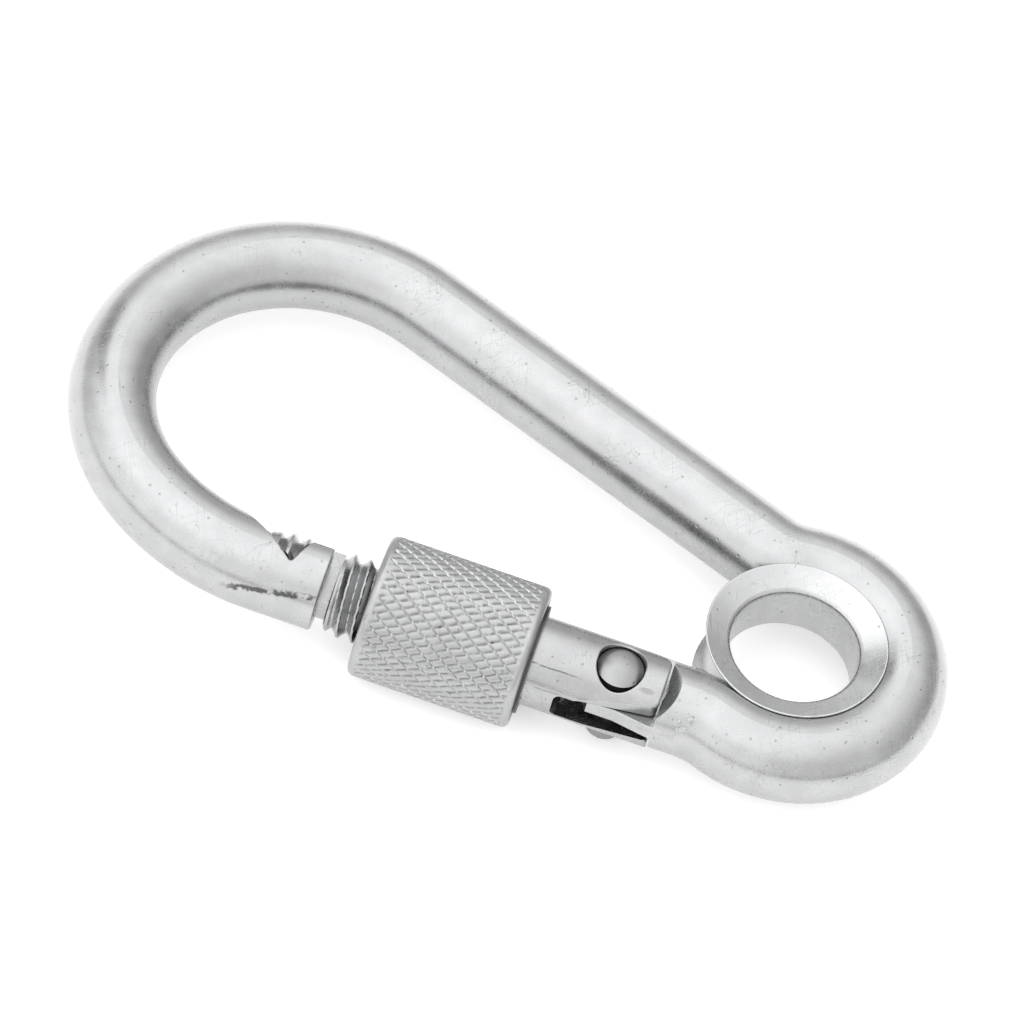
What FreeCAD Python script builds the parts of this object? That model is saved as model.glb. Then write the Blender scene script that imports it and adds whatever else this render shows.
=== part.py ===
"""Screw-lock snap hook with an eyelet, bent from round stainless steel wire.

Frame: the origin is the centre of the eyelet's bore, half way through its thickness.
+Z runs along the bore, across the flat hook. +X points from the crown of the hook to the
eye, along the gate. +Y points from the gate to the spine. All sizes are millimetres.
"""
import FreeCAD, Part
import math
import os

V = FreeCAD.Vector
Z_AXIS = V(0, 0, 1)

# ---- driving dimensions: the bent wire ----
OVERALL_LENGTH = 60.0
WIRE_R = 2.85
EYE_R = 7.39              # centre line of the eye
SPINE_TILT = 20.8         # the spine leans towards the gate at the eye end, degrees
SPINE_OFFSET = 5.8        # from the eye's centre to the spine's centre line
GATE_Y = -6.38            # the gate's axis
SPINE_BEND_R = 4.2        # reverse bend between the spine and the eye
HINGE_BEND_R = 5.7        # reverse bend between the eye and the hinge tongue
CROWN_R = 12.9            # first and longest arc of the crown
CROWN_SWEEP = 105.7
SHOULDER_R = 11.1         # tighter second arc of the crown
SHOULDER_SWEEP = 57.0
NOSE_X = -29.45           # end face of the nose

# ---- driving dimensions: the latch in the nose ----
NOTCH_BOTTOM = (-31.85, -7.15)
NOTCH_LEFT_ANGLE = 140.5  # the long ramp of the V-shaped notch
NOTCH_RIGHT_ANGLE = 67.0  # the lug's undercut face
LUG_TOP_Y = -5.0
NECK_SLOT_HALF = 1.0      # half height of the slot that lets the gate's neck through
NECK_HALF = 0.88
NECK_SLOT_Y = -8.25
NECK_BOTTOM_Y = -8.1
LATCH_GAP = 0.12
HEAD_LEFT_X = -34.3
NOSE_EDGE_R = 0.15        # broken edges of the notch, the lug and the slot

# ---- driving dimensions: the gate ----
GATE_R = 2.94
GATE_SHOULDER_X = -28.74
GATE_END_X = -6.92
THREAD_R = 2.72
THREAD_ROOT_R = 2.24
THREAD_PITCH = 1.0
THREAD_LAND = 0.12
THREAD_END_X = -19.4
HINGE_X = -9.95
FORK_HALF = 1.03
FORK_X = -13.37
FORK_CORNER_R = 0.45
CHEEK_BACK = 1.95         # the fork's cheeks taper to this half width at the back
CHEEK_FRONT = (1.95, 2.4)  # and to these at the front, upper and lower cheek
CHEEK_CORNER_R = 1.0      # rounded on the side that swings past the hook
CHEEK_FRONT_R = 0.45
GATE_EDGE_R = 0.12
RECESS_R = 1.56
RECESS_STRETCH = 0.31     # the recesses are drawn out towards the front by this much
RECESS_FLOOR_Z = 1.75
RECESS_EDGE_R = 0.08
SPRING_BORE_R = 0.95
SPRING_BORE_LENGTH = 8.2

# ---- driving dimensions: the hinge tongue and the rivet ----
TONGUE_R = 2.9
TONGUE_TOP = 0.97
TONGUE_BOTTOM = -0.16
TONGUE_FLAT = 2.45        # from the rivet's axis to the flat that the plunger presses on
TONGUE_FRONT = 2.42       # half width of the tongue's straight front side
TONGUE_CORNER = (-1.3, -0.9)  # the front corner's x, and where its bevel meets the flat
TONGUE_EDGE_R = 0.1
WALL_DISTANCE = 3.15      # from the rivet's axis to the straight wall behind the cheeks
WALL_R = 3.33             # round part of that wall, which the cheeks swing past
RIDGE_DISTANCE = 3.9      # top of the bevel between the wall and the full wire
RIDGE_ANGLE = 11.6
RIVET_R = 1.2
RIVET_PLAY = 0.05
RIVET_HEAD_R = 1.5
RIVET_HEAD_Z = 1.8
RIVET_TOP_Z = 2.25
RIVET_TOP_DOME = 0.45
RIVET_COLLAR_Z = -2.4     # collar staked in the lower recess
RIVET_FOOT_Z = -4.05
RIVET_FOOT_DOME = 0.3

# ---- driving dimensions: plunger and spring ----
PLUNGER_R = 0.9
PLUNGER_TIP_R = 0.5
PLUNGER_LENGTH = 3.0
PLUNGER_GAP = 0.05
SPRING_WIRE_R = 0.15
SPRING_R = 0.68
SPRING_TURNS = 8

# ---- driving dimensions: the screw sleeve and its bush ----
SLEEVE_R = 4.67
SLEEVE_FRONT_X = -26.37
SLEEVE_BACK_X = -15.6
SLEEVE_CHAMFER = 0.55
SLEEVE_BORE_R = 2.82
NOSE_BORE_R = 3.08
NOSE_BORE_END_X = -23.0
BUSH_BORE_R = 3.62
BUSH_BORE_END_X = -19.6
BACK_FLARE_R = 4.15
BUSH_R = 3.57
BUSH_HOLE_R = 3.0
BUSH_X = (-17.4, -15.38)

# ---- driving dimensions: the eyelet ----
EYELET_BORE_R = 4.17
EYELET_BORE_HALF = 1.84
EYELET_RIM_R = 5.92
EYELET_RIM_Z = 2.6
EYELET_GROOVE_GAP = 0.03
EYELET_BORE_EDGE_R = 0.45
EYELET_RIM_EDGE_R = 0.07


def polar(radius, degrees):
    """Point at a distance and an angle from the origin, in the hook's plane."""
    a = math.radians(degrees)
    return V(radius * math.cos(a), radius * math.sin(a), 0)


def arc(centre, radius, start, end):
    """Arc edge from one angle to another, passing half way between them."""
    points = [centre + polar(radius, a) for a in (start, (start + end) / 2, end)]
    return Part.Arc(*points).toShape()


def rod(radius, x0, x1, y=GATE_Y, z=0.0):
    """Cylinder along X, on the gate's axis unless told otherwise."""
    return Part.makeCylinder(radius, x1 - x0, V(x0, y, z), V(1, 0, 0))


def pin(radius, z0, z1, x=HINGE_X, y=GATE_Y):
    """Cylinder along Z, on the hinge's axis unless told otherwise."""
    return Part.makeCylinder(radius, z1 - z0, V(x, y, z0), Z_AXIS)


def slab(x0, x1, y0, y1, z0, z1):
    """Box between two corners."""
    return Part.makeBox(x1 - x0, y1 - y0, z1 - z0, V(x0, y0, z0))


def plate(points, z0, z1):
    """Flat polygon raised from z0 to z1."""
    corners = [V(p[0], p[1], z0) for p in points]
    face = Part.Face(Part.makePolygon(corners + corners[:1]))
    return face.extrude(V(0, 0, z1 - z0))


def turned(profile):
    """Solid turned about the gate's axis from (x, radius) corners."""
    corners = [V(x, GATE_Y + r, 0) for x, r in profile]
    face = Part.Face(Part.makePolygon(corners + corners[:1]))
    return face.revolve(V(0, GATE_Y, 0), V(1, 0, 0), 360)


def bounds_within(edge, low, high):
    """Whether an edge lies wholly between two corners of a box."""
    b = edge.BoundBox
    return all(lo <= c for lo, c in zip(low, (b.XMin, b.YMin, b.ZMin))) and all(
        c <= hi for c, hi in zip((b.XMax, b.YMax, b.ZMax), high))


def is_sharp(shape, edge):
    """Whether two faces meet in a corner at an edge, and not smoothly."""
    faces = shape.ancestorsOfType(edge, Part.Face)
    if len(faces) != 2:
        return False
    middle = edge.valueAt((edge.FirstParameter + edge.LastParameter) / 2)
    a, b = (f.normalAt(*f.Surface.parameter(middle)) for f in faces)
    return a.dot(b) < math.cos(math.radians(15))


def soften(shape, radius, low, high):
    """Round every sharp edge inside a box."""
    edges = [e for e in shape.Edges if bounds_within(e, low, high) and is_sharp(shape, e)]
    return shape.makeFillet(radius, edges)


def wire_path():
    """Centre line of the hook, from the hinge round the eye and the crown to the nose."""
    tilt = math.radians(SPINE_TILT)
    along = V(math.cos(tilt), -math.sin(tilt), 0)
    outward = V(math.sin(tilt), math.cos(tilt), 0)
    # the two reverse bends roll outside the eye's circle
    upper = SPINE_OFFSET + SPINE_BEND_R
    back = math.sqrt((EYE_R + SPINE_BEND_R) ** 2 - upper ** 2)
    spine_bend = outward * upper - along * back
    spine_end = outward * SPINE_OFFSET - along * back
    lower = HINGE_BEND_R - GATE_Y
    tongue_bend = V(-math.sqrt((EYE_R + HINGE_BEND_R) ** 2 - lower ** 2), -lower, 0)
    # the spine is as long as the overall length asks for
    normal_angle = 90 - SPINE_TILT
    crown_end = normal_angle + CROWN_SWEEP
    shoulder_end = crown_end + SHOULDER_SWEEP
    tip_x = EYE_R + WIRE_R - OVERALL_LENGTH
    shoulder_x = tip_x + WIRE_R + SHOULDER_R
    crown_x = shoulder_x - polar(CROWN_R - SHOULDER_R, crown_end).x
    spine_start_x = crown_x + (outward * CROWN_R).x
    spine_start = spine_end - along * ((spine_end.x - spine_start_x) / along.x)
    crown = spine_start - outward * CROWN_R
    shoulder = crown + polar(CROWN_R - SHOULDER_R, crown_end)
    # the last arc is as wide as it must be to run out on the gate's axis
    rise = polar(1, shoulder_end).y
    tip_r = (shoulder.y + SHOULDER_R * rise - GATE_Y) / (1 + rise)
    tip = shoulder + polar(SHOULDER_R - tip_r, shoulder_end)

    spine_touch = math.degrees(math.atan2(spine_bend.y, spine_bend.x))
    tongue_touch = math.degrees(math.atan2(tongue_bend.y, tongue_bend.x))
    hinge_end = V(HINGE_X, GATE_Y, 0)
    tongue_start = V(tongue_bend.x, GATE_Y, 0)
    edges = [
        Part.LineSegment(hinge_end, tongue_start).toShape(),
        arc(tongue_bend, HINGE_BEND_R, 90, 180 + tongue_touch),
        arc(V(0, 0, 0), EYE_R, tongue_touch, spine_touch),
        arc(spine_bend, SPINE_BEND_R, 180 + spine_touch, 180 + normal_angle),
        Part.LineSegment(spine_end, spine_start).toShape(),
        arc(crown, CROWN_R, normal_angle, crown_end),
        arc(shoulder, SHOULDER_R, crown_end, shoulder_end),
        arc(tip, tip_r, shoulder_end, 270),
        Part.LineSegment(V(tip.x, GATE_Y, 0), V(NOSE_X, GATE_Y, 0)).toShape(),
    ]
    return Part.Wire(edges)


def notch_wedge(gap=0.0):
    """V-shaped notch of the nose as a prism, or the same wedge shrunk by a gap."""
    left = polar(12, NOTCH_LEFT_ANGLE)
    right = polar(9, NOTCH_RIGHT_ANGLE)
    half = math.radians((NOTCH_LEFT_ANGLE - NOTCH_RIGHT_ANGLE) / 2)
    inset = polar(gap / math.sin(half), (NOTCH_LEFT_ANGLE + NOTCH_RIGHT_ANGLE) / 2)
    bottom = V(NOTCH_BOTTOM[0], NOTCH_BOTTOM[1], 0) + inset
    return plate([bottom, bottom + right, bottom + left], -4, 4)


def tongue_cutter(floor, side):
    """Waste on one side of the hinge tongue, up to the wall and the bevel behind it.

    side is 1 above the tongue and -1 below it.
    """
    reach = 5 * side
    low, high = sorted((floor, reach))
    straight = slab(HINGE_X - 9, HINGE_X + WALL_DISTANCE, GATE_Y - 7, GATE_Y + 7, low, high)
    swing = pin(WALL_R, low, high)
    # the bevel rises at 45 degrees to the full wire
    start = RIDGE_DISTANCE - WIRE_R + abs(floor)
    outline = [(start, floor), (start + abs(reach - floor), reach), (start, reach)]
    corners = [V(u, -7, z) for u, z in outline]
    bevel = Part.Face(Part.makePolygon(corners + corners[:1])).extrude(V(0, 14, 0))
    bevel.rotate(V(0, 0, 0), Z_AXIS, RIDGE_ANGLE)
    bevel.translate(V(HINGE_X, GATE_Y, 0))
    level = slab(HINGE_X, HINGE_X + 7, GATE_Y - 7, GATE_Y + 7, low, high)
    return straight.fuse([swing, bevel.common(level)])


def hinge_tongue():
    """Flat eye round the rivet, with the flat that the plunger presses on."""
    round_end = pin(TONGUE_R, TONGUE_BOTTOM, TONGUE_TOP)
    root = HINGE_X + WALL_DISTANCE + 1.5
    web = slab(HINGE_X, root, GATE_Y - TONGUE_R, GATE_Y + TONGUE_R, TONGUE_BOTTOM, TONGUE_TOP)
    corner_x, bevel_y = TONGUE_CORNER
    outline = [(-TONGUE_FLAT, 4), (-TONGUE_FLAT, bevel_y), (corner_x, -TONGUE_FRONT),
               (0.5, -TONGUE_FRONT), (2.95, -WIRE_R + 0.05), (5, -WIRE_R + 0.05), (5, 4)]
    trim = plate([(HINGE_X + u, GATE_Y + v) for u, v in outline], -3, 3)
    tongue = round_end.fuse(web).common(trim).removeSplitter()
    edges = [e for e in tongue.Edges
             if e.BoundBox.ZLength < 0.001 and e.BoundBox.XMin < root - 0.01]
    return tongue.makeFillet(TONGUE_EDGE_R, edges)


def hook_body():
    """Wire hook with its forged hinge tongue and the latch cut in its nose."""
    path = wire_path()
    section = Part.Wire(Part.Circle(V(HINGE_X, GATE_Y, 0), V(1, 0, 0), WIRE_R).toShape())
    body = path.makePipeShell([section], True, True)
    # flattened tongue: the wire is cut away above and below it
    body = body.cut([tongue_cutter(TONGUE_TOP, 1), tongue_cutter(TONGUE_BOTTOM, -1)])
    end_gap = slab(HINGE_X - 5, HINGE_X + 3, GATE_Y - 4, GATE_Y + 4, -3, 3)
    body = body.cut(end_gap).fuse(hinge_tongue())
    rivet_hole = pin(RIVET_R, -4, 4)
    # nose: notch, lowered lug and the slot for the gate's neck
    lug_top = slab(NOTCH_BOTTOM[0], NOSE_X + 1, LUG_TOP_Y, 0, -4, 4)
    neck_slot = slab(NOTCH_BOTTOM[0], NOSE_X + 1, NECK_SLOT_Y, 0, -NECK_SLOT_HALF, NECK_SLOT_HALF)
    body = body.cut([rivet_hole, notch_wedge(), lug_top, neck_slot])
    return soften(body, NOSE_EDGE_R, (-38, -10, -3), (NOSE_X + 0.05, 0, 3))


def thread_profile(x0, x1, radius):
    """(x, radius) corners of evenly spaced V-shaped thread grooves between two places."""
    count = int((x1 - x0) / THREAD_PITCH)
    flank = (THREAD_PITCH - THREAD_LAND) / 2
    points = [(x0, radius)]
    for i in range(count):
        start = x0 + THREAD_LAND + i * THREAD_PITCH
        points += [(start, radius), (start + flank, THREAD_ROOT_R)]
        points.append((start + 2 * flank, radius))
    return points + [(x1, radius)]


def cheek_outline(front, z0, z1):
    """Outline that tapers the fork's cheeks and rounds their ends, as a prism."""
    left = FORK_X - 0.5
    corners = [(left, GATE_Y - 4), (FORK_X, GATE_Y - GATE_R), (GATE_END_X, GATE_Y - front),
               (GATE_END_X, GATE_Y + CHEEK_BACK), (FORK_X, GATE_Y + GATE_R), (left, GATE_Y + 4)]
    prism = plate(corners, z0, z1)

    def upright(y):
        """Upright edges at the cheeks' end, on one side."""
        return [e for e in prism.Edges if e.BoundBox.ZLength > 1
                and abs(e.BoundBox.XMin - GATE_END_X) < 0.01 and abs(e.BoundBox.YMin - y) < 0.01]

    prism = prism.makeFillet(CHEEK_CORNER_R, upright(GATE_Y + CHEEK_BACK))
    return prism.makeFillet(CHEEK_FRONT_R, upright(GATE_Y - front))


def gate_arm():
    """Gate: threaded bar with a wedge-shaped latch head in front and a fork at the back."""
    front = thread_profile(GATE_SHOULDER_X, THREAD_END_X, THREAD_R)
    step = 0.25
    bar = turned([(GATE_SHOULDER_X, 0)] + front
                 + [(THREAD_END_X + step, GATE_R), (GATE_END_X, GATE_R), (GATE_END_X, 0)])
    upper, lower = CHEEK_FRONT
    whole = slab(-40, FORK_X - 0.4, -12, 0, -4, 4)
    bar = bar.common(whole.fuse([cheek_outline(upper, 0, 4), cheek_outline(lower, -4, 0)]))
    neck = rod(THREAD_ROOT_R + 0.3, NOTCH_BOTTOM[0] + LATCH_GAP, GATE_SHOULDER_X + 0.5)
    neck = neck.common(slab(-40, 0, NECK_BOTTOM_Y, 0, -NECK_HALF, NECK_HALF))
    head = turned([(HEAD_LEFT_X, 0)] + thread_profile(HEAD_LEFT_X, HEAD_LEFT_X + 4, THREAD_R)
                  + [(HEAD_LEFT_X + 4, 0)])
    taper = Part.makeCone(THREAD_ROOT_R, THREAD_R + 0.4, 4, V(HEAD_LEFT_X, GATE_Y, 0), V(1, 0, 0))
    head = head.common(notch_wedge(LATCH_GAP)).common(taper)
    arm = bar.fuse([neck, head])
    # fork slot with rounded inner corners, spring bore behind it
    fork = slab(FORK_X, GATE_END_X + 1, -12, 0, -FORK_HALF, FORK_HALF)
    inner = [e for e in fork.Edges
             if all(abs(v.Point.x - FORK_X) < 0.01 for v in e.Vertexes)
             and abs(e.Vertexes[0].Point.y - e.Vertexes[1].Point.y) > 1]
    fork = fork.makeFillet(FORK_CORNER_R, inner)
    spring_bore = rod(SPRING_BORE_R, FORK_X - SPRING_BORE_LENGTH, FORK_X + 1)
    hole = pin(RIVET_R + RIVET_PLAY, -4, 4)
    recesses = [pin(RECESS_R, z0, z1, HINGE_X, GATE_Y - shift)
                for z0, z1 in ((RECESS_FLOOR_Z, 4), (-4, -RECESS_FLOOR_Z))
                for shift in (0, RECESS_STRETCH)]
    arm = arm.cut([fork, spring_bore, hole] + recesses)
    # broken edges of the recess and of the upper cheek
    outer = GATE_Y + GATE_R + 0.1
    arm = soften(arm, RECESS_EDGE_R, (HINGE_X - 2, GATE_Y - 2, 2.2), (HINGE_X + 2, GATE_Y + 2, 3))
    return soften(arm, GATE_EDGE_R, (FORK_X + 1, -10, 1), (GATE_END_X + 0.1, outer, 3))


def pivot_rivet():
    """Rivet with a domed head and a collar in the cheeks' recesses, and an end that sticks out."""
    def dome(head_r, z, height):
        """Spherical cap on the end of a round."""
        radius = (head_r ** 2 + height ** 2) / (2 * abs(height))
        centre = z + height - math.copysign(radius, height)
        ball = Part.makeSphere(radius, V(HINGE_X, GATE_Y, centre))
        low, high = sorted((z, z + height * 1.5))
        return ball.common(pin(head_r, low, high))

    shank = pin(RIVET_R, RIVET_FOOT_Z, RIVET_HEAD_Z)
    top = pin(RIVET_HEAD_R, RIVET_HEAD_Z, RIVET_TOP_Z)
    collar = pin(RIVET_HEAD_R, RIVET_COLLAR_Z, -RIVET_HEAD_Z)
    caps = [dome(RIVET_HEAD_R, RIVET_TOP_Z, RIVET_TOP_DOME),
            dome(RIVET_R, RIVET_FOOT_Z, -RIVET_FOOT_DOME)]
    return shank.fuse([top, collar] + caps).removeSplitter()


def plunger_face_x():
    """Place of the plunger's tip, just clear of the tongue's flat."""
    return HINGE_X - TONGUE_FLAT - PLUNGER_GAP


def gate_plunger():
    """Turned plunger that slides in the gate and presses on the tongue's flat."""
    face = plunger_face_x()
    cone = PLUNGER_R - PLUNGER_TIP_R
    back = face - PLUNGER_LENGTH
    return turned([(face, 0), (face, PLUNGER_TIP_R), (face - cone, PLUNGER_R),
                   (back, PLUNGER_R), (back, 0)])


def gate_spring():
    """Compression spring between the plunger and the blind end of its bore."""
    start = FORK_X - SPRING_BORE_LENGTH + SPRING_WIRE_R + 0.02
    end = plunger_face_x() - PLUNGER_LENGTH - SPRING_WIRE_R - 0.02
    length = end - start
    helix = Part.makeHelix(length / SPRING_TURNS, length, SPRING_R)
    section = Part.Wire(Part.Circle(V(SPRING_R, 0, 0), V(0, 1, 0), SPRING_WIRE_R).toShape())
    coil = Part.Wire(helix).makePipeShell([section], True, True)
    coil.rotate(V(0, 0, 0), V(0, 1, 0), 90)
    coil.translate(V(start, GATE_Y, 0))
    return coil


def locking_sleeve():
    """Screw sleeve, with a bore for the nose in front and one for the bush behind."""
    c = SLEEVE_CHAMFER
    return turned([
        (SLEEVE_FRONT_X, NOSE_BORE_R + 0.3),
        (SLEEVE_FRONT_X, SLEEVE_R - c),
        (SLEEVE_FRONT_X + c, SLEEVE_R),
        (SLEEVE_BACK_X - c, SLEEVE_R),
        (SLEEVE_BACK_X, SLEEVE_R - c * 0.6),
        (SLEEVE_BACK_X, BACK_FLARE_R),
        (SLEEVE_BACK_X - BACK_FLARE_R + BUSH_BORE_R, BUSH_BORE_R),
        (BUSH_BORE_END_X, BUSH_BORE_R),
        (BUSH_BORE_END_X, SLEEVE_BORE_R),
        (NOSE_BORE_END_X, SLEEVE_BORE_R),
        (NOSE_BORE_END_X, NOSE_BORE_R),
        (SLEEVE_FRONT_X + 0.3, NOSE_BORE_R),
    ])


def sleeve_bush():
    """Plain ring that keeps the sleeve's back end centred on the gate's smooth bar."""
    x0, x1 = BUSH_X
    return turned([(x0, BUSH_HOLE_R), (x0, BUSH_R), (x1, BUSH_R), (x1, BUSH_HOLE_R)])


def eyelet():
    """Turned eyelet: a groove that holds the wire, and two rims dished towards the bore."""
    outline = [V(EYELET_BORE_R, 0, -EYELET_BORE_HALF), V(EYELET_RIM_R, 0, -EYELET_RIM_Z),
               V(EYELET_RIM_R, 0, EYELET_RIM_Z), V(EYELET_BORE_R, 0, EYELET_BORE_HALF)]
    face = Part.Face(Part.makePolygon(outline + outline[:1]))
    blank = face.revolve(V(0, 0, 0), Z_AXIS, 360)
    mouths = [e for e in blank.Edges
              if isinstance(e.Curve, Part.Circle) and e.Curve.Radius < EYELET_BORE_R + 0.01]
    blank = blank.makeFillet(EYELET_BORE_EDGE_R, mouths)
    rims = [e for e in blank.Edges
            if isinstance(e.Curve, Part.Circle) and e.Curve.Radius > EYELET_RIM_R - 0.01]
    blank = blank.makeFillet(EYELET_RIM_EDGE_R, rims)
    return blank.cut(Part.makeTorus(EYE_R, WIRE_R + EYELET_GROOVE_GAP))


NODES = {
    "hook_body": hook_body,
    "eyelet": eyelet,
    "pivot_rivet": pivot_rivet,
    "gate_arm": gate_arm,
    "gate_plunger": gate_plunger,
    "gate_spring": gate_spring,
    "locking_sleeve": locking_sleeve,
    "sleeve_bush": sleeve_bush,
}

os.makedirs("parts", exist_ok=True)
for name, make in NODES.items():
    shape = make()
    box = shape.BoundBox
    print(name, len(shape.Solids), "solid, valid", shape.isValid(), round(shape.Volume, 2), "mm3",
          [round(v, 2) for v in (box.XMin, box.YMin, box.ZMin, box.XMax, box.YMax, box.ZMax)])
    shape.exportStep(f"parts/{name}.step")
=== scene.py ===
"""Looks of a stainless screw-lock snap hook with an eyelet, built round its CAD frame."""

import logging
import math
from dataclasses import dataclass
from enum import Enum

import bmesh
import bpy
from mathutils import Matrix, Vector
from mathutils.noise import noise as noise_value


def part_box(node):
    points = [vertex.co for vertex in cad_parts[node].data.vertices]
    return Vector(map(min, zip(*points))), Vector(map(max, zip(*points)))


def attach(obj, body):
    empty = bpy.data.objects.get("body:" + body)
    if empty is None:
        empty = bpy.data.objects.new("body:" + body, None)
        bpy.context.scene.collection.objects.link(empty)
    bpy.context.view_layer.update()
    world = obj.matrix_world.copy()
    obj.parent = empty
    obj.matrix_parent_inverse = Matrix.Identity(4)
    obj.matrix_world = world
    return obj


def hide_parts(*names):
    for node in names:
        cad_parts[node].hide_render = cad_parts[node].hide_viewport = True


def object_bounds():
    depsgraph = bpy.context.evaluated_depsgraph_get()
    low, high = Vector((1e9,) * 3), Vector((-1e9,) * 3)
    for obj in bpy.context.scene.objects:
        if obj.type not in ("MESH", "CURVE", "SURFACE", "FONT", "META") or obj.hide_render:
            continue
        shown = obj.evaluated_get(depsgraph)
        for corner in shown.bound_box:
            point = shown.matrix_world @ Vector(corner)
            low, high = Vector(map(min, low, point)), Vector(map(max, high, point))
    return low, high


MM = 0.001
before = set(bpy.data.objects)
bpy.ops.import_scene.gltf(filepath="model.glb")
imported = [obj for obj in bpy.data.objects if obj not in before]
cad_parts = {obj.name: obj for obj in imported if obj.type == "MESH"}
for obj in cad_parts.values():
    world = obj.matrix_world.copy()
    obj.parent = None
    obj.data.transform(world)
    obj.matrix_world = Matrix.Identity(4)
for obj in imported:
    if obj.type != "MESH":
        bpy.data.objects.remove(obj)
CAD_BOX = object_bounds()
LOG = logging.getLogger("snap_hook")

THREAD_PITCH = 1.0      # mm a turn, right-handed, on the gate and in the sleeve alike
THREAD_LAND = 0.12      # flat crest, as a share of the pitch
THREAD_CURVE = 1.4      # 1 is a straight flank, more rounds the root
FINE_HEIGHT = 0.5       # fine grain's share of the coarse grain's height
FINE_TONE = 0.4         # fine grain's share of the tone
PIT_EDGE = (0.34, 0.06)             # from a pit's rim to its floor, in cells
SCRATCH_WAYS = ((0.8, 0.6, 0.09), (0.35, -0.94, 0.07))      # direction and stretch
SCRATCH_PATCHES = (0.48, 0.6)       # noise where the scratches start and are whole
EDGE_ANGLES = (0.99, 0.8)           # cosines where an edge starts and is brightest
GATE_Y = -6.38          # the gate's axis, in millimetres


class Body(Enum):
    """Moving bodies that the pieces made here ride on."""

    HOOK = "hook"
    GATE = "gate"
    SLEEVE = "sleeve"


class Slot(Enum):
    """Material slots of the pieces made here."""

    WIRE = "wire_steel"
    GATE = "gate_steel"
    SLEEVE = "sleeve_steel"


# ---------------------------------------------------------------- node building

class Signal:
    """Number that varies over a node tree, worked out with Python's own operators."""

    def __init__(self, tree: bpy.types.NodeTree, socket: bpy.types.NodeSocket) -> None:
        """Wrap an output socket.

        Args:
            tree: The socket's tree, which further nodes are added to.
            socket: The output that the number comes from.
        """
        self.tree = tree
        self.socket = socket

    def math(self, operation: str, *others: "Signal | float") -> "Signal":
        """Add a Math node that takes this signal first.

        Args:
            operation: Blender's name of the operation.
            others: Further signals or plain numbers.

        Returns:
            The node's result.
        """
        node = self.tree.nodes.new("ShaderNodeMath")
        node.operation = operation
        for socket, value in zip(node.inputs, (self, *others)):
            plug(self.tree, value, socket)
        return Signal(self.tree, node.outputs[0])

    def __add__(self, other: "Signal | float") -> "Signal":
        """Sum."""
        return self.math("ADD", other)

    def __sub__(self, other: "Signal | float") -> "Signal":
        """Difference."""
        return self.math("SUBTRACT", other)

    def __mul__(self, other: "Signal | float") -> "Signal":
        """Product."""
        return self.math("MULTIPLY", other)

    def __truediv__(self, other: "Signal | float") -> "Signal":
        """Quotient."""
        return self.math("DIVIDE", other)

    def __pow__(self, other: "Signal | float") -> "Signal":
        """Power."""
        return self.math("POWER", other)

    def __abs__(self) -> "Signal":
        """Size without its sign."""
        return self.math("ABSOLUTE")

    def inverse(self) -> "Signal":
        """One minus the signal."""
        return self * -1.0 + 1.0

    def clamp(self) -> "Signal":
        """The signal held between 0 and 1."""
        return self.math("MAXIMUM", 0.0).math("MINIMUM", 1.0)

    def ramp(self, low: float, high: float) -> "Signal":
        """Smooth rise from 0 at one value to 1 at another.

        Args:
            low: Value where the rise starts.
            high: Value where it ends, which may be the lower one.

        Returns:
            The rise, held at 0 and 1 outside it.
        """
        t = ((self - low) / (high - low)).clamp()
        return t * t * (t * -2.0 + 3.0)


def plug(tree: bpy.types.NodeTree, value: "Signal | bpy.types.NodeSocket | float",
         socket: bpy.types.NodeSocket) -> None:
    """Link a signal to a socket, or set the socket to a plain value.

    Args:
        tree: The tree that both belong to.
        value: A signal, an output socket or a number.
        socket: The input to feed.
    """
    if isinstance(value, Signal):
        tree.links.new(value.socket, socket)
    elif isinstance(value, bpy.types.NodeSocket):
        tree.links.new(value, socket)
    else:
        socket.default_value = value


def parts_of(tree: bpy.types.NodeTree, vector: bpy.types.NodeSocket) -> list[Signal]:
    """Split a vector socket.

    Args:
        tree: The socket's tree.
        vector: The socket.

    Returns:
        Its x, y and z as signals.
    """
    node = tree.nodes.new("ShaderNodeSeparateXYZ")
    tree.links.new(vector, node.inputs[0])
    return [Signal(tree, s) for s in node.outputs]


def joined(tree: bpy.types.NodeTree, *parts: "Signal | float") -> bpy.types.NodeSocket:
    """Combine three signals or numbers.

    Args:
        tree: The tree to add the node to.
        parts: The vector's x, y and z.

    Returns:
        The vector's socket.
    """
    node = tree.nodes.new("ShaderNodeCombineXYZ")
    for part, socket in zip(parts, node.inputs):
        plug(tree, part, socket)
    return node.outputs[0]


def noise(tree: bpy.types.NodeTree, vector: bpy.types.NodeSocket, scale: "Signal | float",
          detail: float = 2.0) -> Signal:
    """Smooth noise over a vector.

    Args:
        tree: The tree to add the node to.
        vector: The place that the noise depends on.
        scale: How fine it is.
        detail: How many finer layers it has.

    Returns:
        Values between 0 and 1, mostly near a half.
    """
    node = tree.nodes.new("ShaderNodeTexNoise")
    tree.links.new(vector, node.inputs["Vector"])
    plug(tree, scale, node.inputs["Scale"])
    node.inputs["Detail"].default_value = detail
    return Signal(tree, node.outputs[0])


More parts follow.
